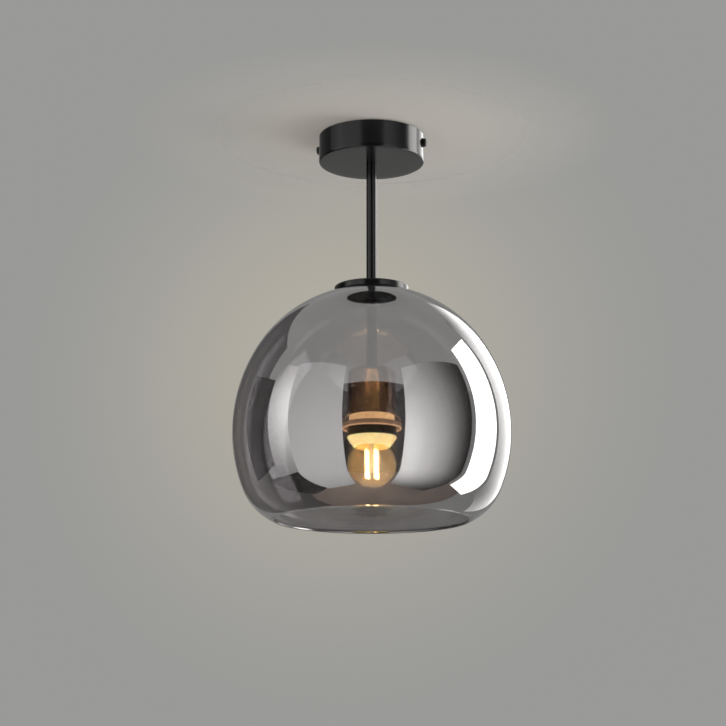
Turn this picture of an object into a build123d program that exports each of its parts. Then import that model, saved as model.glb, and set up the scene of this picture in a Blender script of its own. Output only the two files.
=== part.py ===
"""Semi flush ceiling light: round canopy, short stem and an open smoke glass shade round one lamp.

Millimetres, +Z up. The origin is the centre of the ceiling bracket, on the ceiling plane,
so the whole light hangs below z = 0. The bracket and the two canopy screws lie along X.
"""

from build123d import *
from math import cos, pi, radians, sin, sqrt
import os

# ---- Canopy and its ceiling bracket ----
canopy_diameter = 100.0
canopy_height = 26.0
canopy_wall = 1.2
canopy_edge_radius = 1.5
bracket_thickness = 1.5
bracket_width = 16.0
bracket_wall_gap = 1.3          # between a bracket ear and the canopy wall
ear_width = 12.0
ear_drop = 15.0
ceiling_slot_spacing = 60.0
ceiling_slot_width = 5.0
ceiling_slot_length = 15.0
tongue_width = 26.0
tongue_reach = 38.0

# ---- Canopy side screws (M4) ----
side_screw_diameter = 4.0
side_screw_length = 10.0
side_screw_head_diameter = 8.0
side_screw_head_height = 2.9
side_screw_depth = 9.5          # axis below the ceiling
side_washer_diameter = 9.0
side_washer_thickness = 0.8

# ---- Stem and its hollow threaded nipples (M8 x 1) ----
stem_diameter = 10.0
stem_length = 122.5
lower_stem_length = 60.0
nipple_diameter = 8.0
nipple_bore = 5.6
nipple_grip = 12.0              # length of nipple inside a stem end
hex_nut_flats = 13.4
hex_nut_height = 6.7
thin_nut_height = 4.0
nipple_chamfer = 0.4
nipple_stub = 2.0               # thread left past a thin nut
spring_washer_diameter = 13.4
spring_washer_thickness = 2.0
spring_washer_slit = 1.2

# ---- Glass shade and the parts that clamp it ----
cap_diameter = 70.0
cap_wall = 1.2
glass_wall = 2.6
glass_seat_radius = 20.0
glass_hole_radius = 5.5
shoulder_radius = 121.9         # arc from the flat seat to the side
side_radius = 147.8             # arc round the widest place
rim_curve_radius = 52.3         # arc that turns in to the rim
seat_angle = 8.0                # degrees from vertical of the glass surface's normal
shoulder_angle = 59.3
side_angle = 111.2
rim_angle = 157.0
gasket_diameter = 36.0
upper_gasket_thickness = 2.1
lower_gasket_thickness = 1.9
retaining_washer_diameter = 48.4
retaining_washer_thickness = 2.0

# ---- Lamp holder ----
cup_diameter = 44.5
cup_height = 38.0
cup_wall = 1.2
cup_shoulder_radius = 6.0
cup_rib_count = 6
cup_rib_pitch = 2.5
cup_rib_depth = 0.5
cup_band = 4.0                  # smooth band below the ribs
collar_neck_diameter = 40.2
collar_neck_wall = 0.9
collar_neck_length = 13.4
collar_thread_length = 8.0      # part of the collar inside the cup
flange_diameter = 54.8
flange_height = 5.3
flange_wall = 1.2
brass_ring_height = 7.4
brass_ring_wall = 0.7
spacer_ring_height = 11.0
spacer_ring_wall = 3.5
cone_height = 9.0
cone_edge_height = 1.0
cone_rim_width = 1.2            # flat bottom face round the mouth
mouth_flare = 1.3               # mouth wider than the bore, on each side
mouth_depth = 5.0
bridge_width = 9.0
bridge_thickness = 1.0
bridge_span = 28.0
bridge_foot_margin = 1.0        # foot ends this far inside the core's edge
bridge_screw_inset = 2.0        # screws from the bridge's legs
core_floor = 5.0
core_height = 47.9              # porcelain core, cone included
holder_terminal_length = 8.0
holder_terminal_width = 6.0
holder_terminal_height = 8.0
holder_terminal_reach = 16.0    # outer end of a terminal from the axis
holder_terminal_bevel = 0.5
holder_thread_depth = 3.0
holder_screw_inset = 2.2        # clamp screw from a terminal's inner end
screw_slot_width = 0.6
screw_slot_depth = 0.4
screw_stand = 0.6               # clamp screw's top above its terminal
rivet_diameter = 2.4
rivet_place = 9.5               # rivets from the axis, along X
holder_screw_radius = 1.5
bridge_screw_radius = 1.0
bridge_screw_length = 5.0
bridge_screw_head = 3.2
bridge_screw_head_height = 1.4
shell_wall = 0.5
shell_bulge = 0.4               # rolled thread, outwards
leaf_thickness = 0.5
leaf_drop = 5.9                 # contact spring's tip below the core's floor
leaf_width = 5.0
leaf_margin = 1.0               # strip left round its rivet hole
leaf_tip_start = 2.0            # flat tip of the spring, from +X ...
leaf_tip_end = -3.0             # ... to -X of the axis
leaf_bend_step = 0.35           # underside of each bend, set back for the sheet
shell_lid = 0.8                 # how far the shell's top turns in

# ---- Lamp: clear globe with four filaments on an E27 base ----
globe_radius = 22.4
globe_wall = 0.8
globe_neck_radius = 12.5
globe_neck_blend = 8.0
lamp_length = 76.0
base_length = 27.0
base_crest_radius = 13.1
base_root_radius = 12.3
base_wall = 0.3
thread_pitch = 3.629
base_turns = 4
foot_radius = 5.0
foot_height = 1.5
insulator_height = 4.5
insulator_step = 1.5            # part of the insulator inside the base
base_skirt_step = 1.0
envelope_in_base = 6.0          # open end of the envelope above the base's edge
filament_radius = 0.9
filament_length = 27.0
filament_count = 4
filament_circle_radius = 6.0
lead_radius = 0.3
mount_stem_radius = 2.4
mount_flare_height = 6.0
mount_flare_edge = 1.0
mount_shoulder = 1.2            # flare's foot, wider than the stem
mount_pinch_rise = 5.0          # stem's plain part starts this far above the filaments
mount_tip_rise = 5.0            # stem ends this far above the filaments' lower ends
lead_rise = 1.5                 # leads run this far past the filaments' ends

# ---- Wiring ----
wire_diameter = 1.9
wire_offset = 1.3               # each wire from the stem's axis
block_length = 20.0
block_height = 13.0
pole_spacing = 8.5
pole_count = 3
block_start = 18.0              # near end of the terminal block from the axis
barrel_radius = 2.4
barrel_wall = 0.8
barrel_screw_radius = 1.2
block_screw_radius = 1.25
earth_screw_radius = 1.5
earth_lug_thickness = 0.8
earth_lug_radius = 3.6
wire_bend = 6.0
wire_wide_bend = 12.0           # bend in front of the terminal block
wire_in_barrel = 5.0
wire_straight = 4.0             # straight run out of the terminal block
barrel_inset = 1.0              # barrels shorter than the block, at each end
barrel_screw_inset = 4.0        # clamp screws from the block's ends
screw_shaft_gap = 0.5
block_bevel = 1.0
block_screw_head_height = 1.6
earth_screw_place = 16.0        # earth screw from the axis, along -X
earth_screw_head = 5.6
earth_screw_head_height = 1.8
lug_tongue_width = 2.4
lug_tongue_reach = 7.6          # tongue's end from the earth screw
lug_wire_start = 4.6            # crimped end of the wire from the earth screw
earth_wire_bend = 5.0
earth_wire_drop = 5.0           # straight slope from the block's level to the lug's

# ---- Clearances ----
thread_gap = 0.05               # radial, threads drawn as plain cylinders
running_gap = 0.1               # radial, plain fits
hole_gap = 0.3                  # radial, clearance holes
seat_gap = 0.3                  # between curved or sprung pieces that meet

# ---- Levels, from the ceiling down ----
canopy_floor = -canopy_height
cap_top = canopy_floor - stem_length
glass_top = cap_top - cap_wall - upper_gasket_thickness
glass_seat_bottom = glass_top - glass_wall
retainer_top = glass_seat_bottom - lower_gasket_thickness
spring_washer_top = retainer_top - retaining_washer_thickness
clamp_nut_top = spring_washer_top - spring_washer_thickness
lower_stem_top = clamp_nut_top - hex_nut_height
cup_top = lower_stem_top - lower_stem_length
cup_bottom = cup_top - cup_height
bridge_top = cup_top - cup_wall
holder_nut_top = bridge_top - bridge_thickness
flange_top = cup_bottom - collar_neck_length
spacer_top = flange_top - flange_wall - seat_gap
cone_top = spacer_top - spacer_ring_height
cone_bottom = cone_top - cone_height
core_top = cone_bottom + core_height
core_cavity_top = core_top - core_floor
leaf_bottom = core_cavity_top - leaf_drop
lamp_top = leaf_bottom - seat_gap
lamp_bottom = lamp_top - lamp_length
globe_centre = lamp_bottom + globe_radius
side_screw_axis = -side_screw_depth

stem_bore = nipple_diameter + 2 * thread_gap
nipple_hole_radius = nipple_diameter / 2 + running_gap
ear_face = canopy_diameter / 2 - canopy_wall - bracket_wall_gap
core_radius = collar_neck_diameter / 2 - collar_neck_wall - running_gap
core_bore_radius = base_crest_radius + 3 * hole_gap + shell_wall
spacer_bore_radius = core_radius + running_gap
cone_top_radius = spacer_bore_radius + spacer_ring_wall
mouth_radius = core_bore_radius + mouth_flare
cone_bottom_radius = mouth_radius + cone_rim_width
bridge_screw_place = bridge_span / 2 + bridge_screw_inset
block_screw_place = pole_spacing / 2
terminal_entry_level = core_top + holder_terminal_height / 2
block_entry_level = -bracket_thickness - block_height / 2
block_middle = block_start + block_length / 2
canopy_plate_top = canopy_floor + canopy_wall
canopy_nut_top = canopy_plate_top + spring_washer_thickness + thin_nut_height
canopy_nipple_top = canopy_nut_top + nipple_stub
holder_nipple_bottom = holder_nut_top - thin_nut_height - nipple_stub
base_bottom = lamp_top - base_length
envelope_top = base_bottom + envelope_in_base
filament_top = globe_centre + filament_length / 2
filament_bottom = filament_top - filament_length
mount_bottom = filament_bottom + mount_tip_rise
lower = (Align.CENTER, Align.CENTER, Align.MAX)

glass_arcs = (
    (shoulder_radius, seat_angle, shoulder_angle),
    (side_radius, shoulder_angle, side_angle),
    (rim_curve_radius, side_angle, rim_angle),
)


# ---- Shape helpers ----
def rod(radius, top, height):
    """A solid cylinder that hangs from the level top."""
    return Pos(0, 0, top) * Cylinder(radius, height, align=lower)


def ring(outer, inner, top, height):
    """A plain ring that hangs from the level top."""
    return rod(outer, top, height) - rod(inner, top, height)


def slab(x, y, z):
    """A box given by its low and high values on each axis."""
    size = (x[1] - x[0], y[1] - y[0], z[1] - z[0])
    centre = ((x[0] + x[1]) / 2, (y[0] + y[1]) / 2, (z[0] + z[1]) / 2)
    return Pos(*centre) * Box(*size)


def at(radius, level):
    """A point of a turned outline, in the XZ plane."""
    return (radius, 0, level)


def turned(edges):
    """The solid that a closed outline in the XZ plane makes round the Z axis."""
    return revolve(make_face(edges), Axis.Z, 360)


def turned_outline(points):
    """A turned solid with straight edges only; points are (radius, level) pairs."""
    return turned(Polyline([at(*p) for p in points], close=True).edges())


def hex_nut(flats, top, height):
    """A hexagon nut on the stem's axis, its outer corners chamfered."""
    corner = flats / 2 / cos(radians(30))
    bevel = corner - flats / 2
    prism = Pos(0, 0, top - height) * extrude(RegularPolygon(corner, 6), height)
    envelope = chamfer(rod(corner, top, height).edges(), bevel)
    return (prism & envelope) - rod(nipple_diameter / 2 + thread_gap, top, height)


def split_washer(outer, inner, top, height):
    """A spring washer with its slit."""
    slit = slab((0, outer), (-spring_washer_slit / 2, spring_washer_slit / 2), (top - height, top))
    return ring(outer, inner, top, height) - slit


def pan_screw(diameter, length, head_diameter, head_height):
    """A screw along Z with its head above z = 0, a domed top and a cross recess."""
    head = Cylinder(head_diameter / 2, head_height, align=(Align.CENTER, Align.CENTER, Align.MIN))
    head = fillet(head.edges().sort_by(Axis.Z)[-1], head_height * 0.6)
    slot = Box(head_diameter * 0.5, head_diameter * 0.12, head_height)
    recess = Pos(0, 0, head_height) * (slot + Rot(0, 0, 90) * slot)
    shank = rod(diameter / 2, 0, length)
    shank = chamfer(shank.edges().sort_by(Axis.Z)[0], diameter * 0.12)
    return head + shank - recess


# ---- Canopy and bracket ----
def canopy():
    radius = canopy_diameter / 2
    shell = fillet(rod(radius, 0, canopy_height).edges().sort_by(Axis.Z)[0], canopy_edge_radius)
    shell -= rod(radius - canopy_wall, 0, canopy_height - canopy_wall)
    shell -= rod(nipple_hole_radius, 0, canopy_height)
    hole = Rot(0, 90, 0) * Cylinder(side_screw_diameter / 2 + hole_gap, 2 * canopy_diameter)
    return shell - Pos(0, 0, side_screw_axis) * hole


def ceiling_bracket():
    half_width = bracket_width / 2
    bar = slab((-ear_face, ear_face), (-half_width, half_width), (-bracket_thickness, 0))
    half_tongue = tongue_width / 2
    bar += slab((-half_tongue, half_tongue), (0, tongue_reach), (-bracket_thickness, 0))
    slot = Pos(0, 0, -bracket_thickness / 2) * extrude(
        SlotOverall(ceiling_slot_length, ceiling_slot_width), bracket_thickness, both=True
    )
    for side in (-1, 1):
        face = sorted((side * ear_face, side * (ear_face - bracket_thickness)))
        bar += slab(face, (-ear_width / 2, ear_width / 2), (-ear_drop, 0))
        bar -= Pos(side * ceiling_slot_spacing / 2, 0, 0) * slot
    tapped = Rot(0, 90, 0) * Cylinder(side_screw_diameter / 2 + thread_gap, 2 * canopy_diameter)
    bar -= Pos(0, 0, side_screw_axis) * tapped
    block_hole = rod(block_screw_radius + thread_gap, 0, bracket_thickness)
    bar -= Pos(block_screw_place, block_middle, 0) * block_hole
    earth_hole = rod(earth_screw_radius + thread_gap, 0, bracket_thickness)
    return bar - Pos(-earth_screw_place, 0, 0) * earth_hole


def on_side(piece, side):
    """Turns a screw or washer made along Z to the +X or -X side of the canopy."""
    turn = Rot(0, 90, 0) if side > 0 else Rot(0, -90, 0)
    place = canopy_diameter / 2 + side_washer_thickness
    return Pos(side * place, 0, side_screw_axis) * turn * piece


def canopy_screw(side):
    screw = pan_screw(
        side_screw_diameter, side_screw_length, side_screw_head_diameter, side_screw_head_height
    )
    return on_side(screw, side)


def canopy_screw_washer(side):
    hole = side_screw_diameter / 2 + running_gap
    return on_side(ring(side_washer_diameter / 2, hole, 0, side_washer_thickness), side)


# ---- Stem ----
def stem():
    return ring(stem_diameter / 2, stem_bore / 2, canopy_floor, stem_length)


def lower_stem():
    return ring(stem_diameter / 2, stem_bore / 2, lower_stem_top, lower_stem_length)


def nipple(top, bottom):
    tube = ring(nipple_diameter / 2, nipple_bore / 2, top, top - bottom)
    outer_edges = tube.edges().filter_by(GeomType.CIRCLE).sort_by(SortBy.RADIUS)[-2:]
    return chamfer(outer_edges, nipple_chamfer)


def canopy_nipple():
    return nipple(canopy_nipple_top, canopy_floor - nipple_grip)


def shade_nipple():
    return nipple(cap_top + nipple_grip, lower_stem_top - nipple_grip)


def holder_nipple():
    return nipple(cup_top + nipple_grip, holder_nipple_bottom)


def canopy_lock_washer():
    top = canopy_plate_top + spring_washer_thickness
    return split_washer(
        spring_washer_diameter / 2, nipple_hole_radius, top, spring_washer_thickness
    )


def canopy_nut():
    return hex_nut(hex_nut_flats, canopy_nut_top, thin_nut_height)


# ---- Shade clamp ----
def glass_level(radius):
    """Level of the glass's outer face under the cap, on its shoulder arc."""
    seat = radians(seat_angle)
    out = (radius - glass_seat_radius) / shoulder_radius + sin(seat)
    return glass_top - shoulder_radius * (cos(seat) - sqrt(1 - out**2))


def shade_cap():
    """Pressed cap whose lip just clears the glass."""
    radius = cap_diameter / 2
    cap_height = cap_top - glass_level(radius - cap_wall) - seat_gap
    body = rod(radius, cap_top, cap_height)
    body = fillet(body.edges().sort_by(Axis.Z)[-1], cap_wall * 0.8)
    body -= rod(radius - cap_wall, cap_top - cap_wall, cap_height)
    return body - rod(nipple_hole_radius, cap_top, cap_height)


def upper_gasket():
    return ring(gasket_diameter / 2, nipple_hole_radius, cap_top - cap_wall, upper_gasket_thickness)


def lower_gasket():
    return ring(gasket_diameter / 2, nipple_hole_radius, glass_seat_bottom, lower_gasket_thickness)


def retaining_washer():
    body = ring(
        retaining_washer_diameter / 2, nipple_hole_radius, retainer_top, retaining_washer_thickness
    )
    rim = body.edges().filter_by(GeomType.CIRCLE).sort_by(SortBy.RADIUS)[-2:]
    return fillet(rim, retaining_washer_thickness * 0.3)


def spring_washer():
    return split_washer(
        spring_washer_diameter / 2, nipple_hole_radius, spring_washer_top, spring_washer_thickness
    )


def clamp_nut():
    return hex_nut(hex_nut_flats, clamp_nut_top, hex_nut_height)


# ---- Glass shade ----
def glass_side(radius, level, inset):
    """The three tangent arcs of the glass, from the seat down, inset from the outer face."""
    edges = []
    for arc_radius, start, end in glass_arcs:
        reach = arc_radius - inset
        points = []
        for angle in (start, (start + end) / 2, end):
            out = reach * (sin(radians(angle)) - sin(radians(start)))
            down = reach * (cos(radians(start)) - cos(radians(angle)))
            points.append(at(radius + out, level - down))
        edges.append(ThreePointArc(*points))
        radius, level = points[-1][0], points[-1][2]
    return edges, (radius, level)


def glass_shade():
    tilt = radians(seat_angle)
    outer, outer_end = glass_side(glass_seat_radius, glass_top, 0)
    inner_start = (glass_seat_radius - glass_wall * sin(tilt), glass_top - glass_wall * cos(tilt))
    inner, inner_end = glass_side(*inner_start, glass_wall)
    # The rim is fire polished to a half round.
    rim_turn = radians(rim_angle)
    middle_radius = (outer_end[0] + inner_end[0]) / 2 + glass_wall / 2 * cos(rim_turn)
    middle_level = (outer_end[1] + inner_end[1]) / 2 - glass_wall / 2 * sin(rim_turn)
    rim = ThreePointArc(at(*outer_end), at(middle_radius, middle_level), at(*inner_end))
    crown = (
        Line(at(glass_hole_radius, glass_top), at(glass_seat_radius, glass_top)),
        Line(at(*inner_start), at(glass_hole_radius, inner_start[1])),
        Line(at(glass_hole_radius, inner_start[1]), at(glass_hole_radius, glass_top)),
    )
    return turned([*crown, *outer, rim, *inner])


# ---- Lamp holder ----
def holder_cup():
    radius = cup_diameter / 2
    body = rod(radius, cup_top, cup_height)
    body = fillet(body.edges().sort_by(Axis.Z)[-1], cup_shoulder_radius)
    cavity = rod(radius - cup_wall, cup_top - cup_wall, cup_height)
    body -= fillet(cavity.edges().sort_by(Axis.Z)[-1], cup_shoulder_radius - cup_wall)
    body -= rod(nipple_hole_radius, cup_top, cup_height)
    groove_height = cup_rib_pitch / 2
    for rib in range(cup_rib_count):
        top = cup_bottom + cup_band + groove_height + rib * cup_rib_pitch
        body -= ring(radius + 1, radius - cup_rib_depth, top, groove_height)
    return body


def holder_bridge():
    half_span, half_width = bridge_span / 2, bridge_width / 2
    x = (-half_width, half_width)
    strap = slab(x, (-half_span, half_span), (holder_nut_top, bridge_top))
    foot_reach = core_radius - bridge_foot_margin
    for side in (-1, 1):
        leg = sorted((side * half_span, side * (half_span - bridge_thickness)))
        strap += slab(x, leg, (core_top, bridge_top))
        foot = sorted((side * half_span, side * foot_reach))
        strap += slab(x, foot, (core_top, core_top + bridge_thickness))
        hole = rod(bridge_screw_radius + running_gap, bridge_top, bridge_top - core_top)
        strap -= Pos(0, side * bridge_screw_place, 0) * hole
    return strap - rod(nipple_hole_radius, bridge_top, bridge_thickness)


def bridge_screws():
    screw = pan_screw(
        2 * bridge_screw_radius, bridge_screw_length, bridge_screw_head, bridge_screw_head_height
    )
    level = core_top + bridge_thickness
    return [Pos(0, side * bridge_screw_place, level) * screw for side in (-1, 1)]


def holder_nut():
    return hex_nut(hex_nut_flats, holder_nut_top, thin_nut_height)


def holder_collar():
    """Neck with the thread that the cup screws on to, and the flange below it."""
    neck = collar_neck_diameter / 2
    bore = neck - collar_neck_wall
    body = ring(neck, bore, cup_bottom, collar_neck_length)
    thread = cup_diameter / 2 - cup_wall - thread_gap
    body += ring(thread, bore, cup_bottom + collar_thread_length, collar_thread_length)
    rim = flange_diameter / 2
    body += ring(rim, bore, flange_top, flange_wall)
    body += ring(rim, rim - flange_wall, flange_top, flange_height)
    top_edge = body.edges().filter_by(GeomType.CIRCLE).sort_by(SortBy.RADIUS)[-3:]
    return fillet(top_edge.sort_by(Axis.Z)[-1], flange_wall * 0.6)


def brass_ring():
    inner = collar_neck_diameter / 2 + thread_gap
    body = ring(inner + brass_ring_wall, inner, flange_top + brass_ring_height, brass_ring_height)
    rims = body.edges().filter_by(GeomType.CIRCLE).sort_by(SortBy.RADIUS)[-2:]
    return chamfer(rims, brass_ring_wall * 0.4)


def spacer_ring():
    return ring(cone_top_radius, spacer_bore_radius, spacer_top, spacer_ring_height)


def socket_core():
    """Porcelain core: a cup round the screw shell, flared below into the cone that shows."""
    body = turned_outline(
        (
            (0, core_top),
            (core_radius, core_top),
            (core_radius, cone_top),
            (cone_top_radius, cone_top),
            (cone_top_radius, cone_top - cone_edge_height),
            (cone_bottom_radius, cone_bottom),
            (mouth_radius, cone_bottom),
            (core_bore_radius, cone_bottom + mouth_depth),
            (core_bore_radius, core_cavity_top),
            (0, core_cavity_top),
        )
    )
    rivet_hole = rod(rivet_diameter / 2 + running_gap, core_top, core_floor)
    screw_hole = rod(bridge_screw_radius + thread_gap, core_top, bridge_screw_length)
    for side in (-1, 1):
        body -= Pos(side * rivet_place, 0, 0) * rivet_hole
        body -= Pos(0, side * bridge_screw_place, 0) * screw_hole
    return body


def screw_shell():
    """Rolled shell that takes the lamp's base, with a tab under the neutral terminal."""
    inner = base_crest_radius + hole_gap
    start = core_cavity_top - shell_wall
    wall, backing = [], []
    for half_turn in range(2 * (base_turns + 1)):
        high = start - half_turn * thread_pitch / 2
        middle, low = high - thread_pitch / 4, high - thread_pitch / 2
        out = shell_bulge if half_turn % 2 else 0
        points = [(inner, high), (inner + out, middle), (inner, low)]
        for edges, offset in ((wall, 0), (backing, shell_wall)):
            ends = [at(radius + offset, level) for radius, level in points]
            edges.append(ThreePointArc(*ends) if out else Line(ends[0], ends[-1]))
    top_lid = (
        Line(at(inner - shell_lid, core_cavity_top), at(inner + shell_wall, core_cavity_top)),
        Line(at(inner + shell_wall, core_cavity_top), at(inner + shell_wall, start)),
        Line(at(inner - shell_lid, core_cavity_top), at(inner - shell_lid, start)),
        Line(at(inner - shell_lid, start), at(inner, start)),
    )
    bottom = Line(at(inner, low), at(inner + shell_wall, low))
    body = turned([*top_lid, *wall, *backing, bottom])
    tab_half = leaf_width / 2
    tab_end = -rivet_place + rivet_diameter / 2 + running_gap + leaf_margin
    body += slab((-inner, tab_end), (-tab_half, tab_half), (start, core_cavity_top))
    hole = rod(rivet_diameter / 2 + running_gap, core_cavity_top, shell_wall)
    return body - Pos(-rivet_place, 0, 0) * hole


def contact_spring():
    """Bent strip: riveted foot, slope, and the flat tip that the lamp's foot presses on."""
    top, tip = core_cavity_top, leaf_bottom
    margin = rivet_diameter / 2 + running_gap + leaf_margin
    slope_start, foot_end = rivet_place - margin, rivet_place + margin
    outline = (
        at(foot_end, top),
        at(slope_start, top),
        at(leaf_tip_start, tip + leaf_thickness),
        at(leaf_tip_end, tip + leaf_thickness),
        at(leaf_tip_end, tip),
        at(leaf_tip_start - leaf_bend_step, tip),
        at(slope_start - leaf_bend_step, top - leaf_thickness),
        at(foot_end, top - leaf_thickness),
    )
    face = make_face(Polyline(outline, close=True).edges())
    strip = extrude(face, leaf_width / 2, dir=(0, 1, 0), both=True)
    hole = rod(rivet_diameter / 2 + running_gap, top, leaf_thickness)
    return strip - Pos(rivet_place, 0, 0) * hole


def holder_terminals():
    """One block each side with a cross hole for the wire and the rivet below it."""
    half = holder_terminal_width / 2
    blocks = []
    for side in (-1, 1):
        outer = side * holder_terminal_reach
        inner = side * (holder_terminal_reach - holder_terminal_length)
        body = slab(sorted((inner, outer)), (-half, half), (core_top, core_top + holder_terminal_height))
        body = chamfer(body.edges().group_by(Axis.Z)[-1], holder_terminal_bevel)
        entry = Rot(0, 90, 0) * Cylinder(wire_diameter / 2 + running_gap, holder_terminal_length)
        # The entry hole is blind, from the face towards the stem.
        body -= Pos(inner, 0, terminal_entry_level) * entry
        rivet_length = core_floor + leaf_thickness
        body += Pos(side * rivet_place, 0, 0) * rod(rivet_diameter / 2, core_top, rivet_length)
        tapped = rod(
            holder_screw_radius + thread_gap, core_top + holder_terminal_height, holder_thread_depth
        )
        blocks.append(body - Pos(terminal_screw_place(side), 0, 0) * tapped)
    return blocks


def terminal_screw_place(side):
    return side * (holder_terminal_reach - holder_terminal_length + holder_screw_inset)


def holder_terminal_screws():
    top = core_top + holder_terminal_height + screw_stand
    screw = rod(
        holder_screw_radius, top, top - terminal_entry_level - wire_diameter / 2 - running_gap
    )
    slot = Pos(0, 0, top) * Box(3 * holder_screw_radius, screw_slot_width, 2 * screw_slot_depth)
    return [Pos(terminal_screw_place(side), 0, 0) * (screw - slot) for side in (-1, 1)]


# ---- Lamp ----
def globe_outline(inset):
    """Neck line end, blend and globe tangent points of the envelope, inset from the outside."""
    neck = globe_neck_radius - inset
    globe = globe_radius - inset
    blend = globe_neck_blend + inset
    rise = sqrt((globe + blend) ** 2 - (neck + blend) ** 2)
    share = globe / (globe + blend)
    join = (share * (neck + blend), globe_centre + share * rise)
    blend_centre = (neck + blend, globe_centre + rise)
    start = (neck, blend_centre[1])
    lean_r = (start[0] + join[0]) / 2 - blend_centre[0]
    lean_z = (start[1] + join[1]) / 2 - blend_centre[1]
    length = sqrt(lean_r**2 + lean_z**2)
    middle = (blend_centre[0] + lean_r / length * blend, blend_centre[1] + lean_z / length * blend)
    return start, middle, join


def envelope_wall(inset, top):
    """The envelope's line from its open top down to the tip, as edges."""
    start, middle, join = globe_outline(inset)
    globe = globe_radius - inset
    side = (globe, globe_centre)
    low = (globe * sin(radians(45)), globe_centre - globe * cos(radians(45)))
    return (
        Line(at(start[0], top), at(*start)),
        ThreePointArc(at(*start), at(*middle), at(*join)),
        ThreePointArc(at(*join), at(*circle_between(join, side, globe)), at(*side)),
        ThreePointArc(at(*side), at(*low), at(0, globe_centre - globe)),
    )


def circle_between(first, second, radius):
    """The point of the globe's circle half way between two of its points."""
    out = (first[0] + second[0]) / 2
    up = (first[1] + second[1]) / 2 - globe_centre
    length = sqrt(out**2 + up**2)
    return (out / length * radius, globe_centre + up / length * radius)


def lamp_globe():
    outer = envelope_wall(0, envelope_top)
    inner = envelope_wall(globe_wall, envelope_top)
    lip = Line(at(globe_neck_radius, envelope_top), at(globe_neck_radius - globe_wall, envelope_top))
    tip = Line(at(0, lamp_bottom), at(0, lamp_bottom + globe_wall))
    return turned([lip, *outer, tip, *inner])


def lamp_base():
    """Rolled screw shell of the lamp; the thread's turns are drawn as rings."""
    thread_top = lamp_top - foot_height - insulator_height
    wall, backing = [], []
    for half_turn in range(2 * base_turns):
        high = thread_top - half_turn * thread_pitch / 2
        middle, low = high - thread_pitch / 4, high - thread_pitch / 2
        radius = (base_crest_radius + base_root_radius) / 2
        swell = (base_crest_radius - base_root_radius) / 2 * (-1 if half_turn % 2 else 1)
        for edges, offset in ((wall, 0), (backing, -base_wall)):
            start, end = at(radius + offset, high), at(radius + offset, low)
            edges.append(ThreePointArc(start, at(radius + swell + offset, middle), end))
    top = Line(at(radius, thread_top), at(radius - base_wall, thread_top))
    skirt = globe_neck_radius + base_wall + running_gap
    inner_skirt = skirt - base_wall
    skirt_top = low - base_skirt_step
    lower_edges = (
        Line(at(radius, low), at(skirt, skirt_top)),
        Line(at(skirt, skirt_top), at(skirt, base_bottom)),
        Line(at(skirt, base_bottom), at(inner_skirt, base_bottom)),
        Line(at(inner_skirt, base_bottom), at(inner_skirt, skirt_top)),
        Line(at(inner_skirt, skirt_top), at(radius - base_wall, low)),
    )
    return turned([top, *wall, *backing, *lower_edges])


def lamp_insulator():
    """Black glass between the shell and the foot contact."""
    high = lamp_top - foot_height
    low = high - insulator_height
    bottom = low - insulator_step
    shell = (base_crest_radius + base_root_radius) / 2 - base_wall
    return turned_outline(
        ((0, high), (foot_radius, high), (shell, low), (shell - insulator_step, bottom), (0, bottom))
    )


def lamp_foot():
    body = rod(foot_radius, lamp_top, foot_height)
    return fillet(body.edges().sort_by(Axis.Z)[-1], foot_height * 0.6)


def lamp_mount():
    """Glass stem inside the lamp, sealed to the neck, that carries the filaments."""
    flare_radius = globe_neck_radius - globe_wall - running_gap
    return turned_outline(
        (
            (0, envelope_top),
            (flare_radius, envelope_top),
            (flare_radius, envelope_top - mount_flare_edge),
            (mount_stem_radius + mount_shoulder, envelope_top - mount_flare_height),
            (mount_stem_radius, filament_top + mount_pinch_rise),
            (mount_stem_radius, mount_bottom + mount_stem_radius / 2),
            (0, mount_bottom),
        )
    )


def filament_places():
    """Angles of the filaments round the lamp's axis."""
    return [45 + 360 * step / filament_count for step in range(filament_count)]


def lamp_filaments():
    strip = Pos(filament_circle_radius, 0, 0) * rod(filament_radius, filament_top, filament_length)
    return [Rot(0, 0, angle) * strip for angle in filament_places()]


def wire_bar(start, end):
    """A short round wire between two points, with ball ends."""
    path = Line(start, end)
    bar = sweep(Plane(origin=start, z_dir=path % 0) * Circle(lead_radius), path=path)
    return bar + Pos(*start) * Sphere(lead_radius) + Pos(*end) * Sphere(lead_radius)


def lamp_leads():
    """Fine wires from the glass mount to the filaments' ends, and their joint at the bottom."""
    top = filament_top + lead_rise
    low = filament_bottom - lead_rise
    place = filament_circle_radius
    upper = wire_bar((mount_stem_radius + 2 * lead_radius, 0, top), (place, 0, top))
    upper += wire_bar((place, 0, top), (place, 0, filament_top + lead_radius))
    under = wire_bar((0, 0, low), (place, 0, low))
    under += wire_bar((place, 0, low), (place, 0, filament_bottom - lead_radius))
    hub = None
    uppers = []
    for angle in filament_places():
        turn = Rot(0, 0, angle)
        uppers.append(turn * upper)
        hub = turn * under if hub is None else hub + turn * under
    hook = wire_bar((0, 0, low), (0, 0, mount_bottom - 2 * lead_radius))
    return [*uppers, hub + hook]


# ---- Wiring ----
def wire(points, radii):
    """One insulated wire whose straight runs are joined by tangent arcs."""
    path = FilletPolyline(*points, radius=radii)
    start = Vector(*points[0])
    heading = (Vector(*points[1]) - start).normalized()
    tube = sweep(Plane(origin=start, z_dir=heading) * Circle(wire_diameter / 2), path=path)
    expected = pi * (wire_diameter / 2) ** 2 * path.length
    print(f"wire: length {path.length:.1f}, radii {radii}, volume ratio {tube.volume / expected:.4f}")
    return tube


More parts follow.
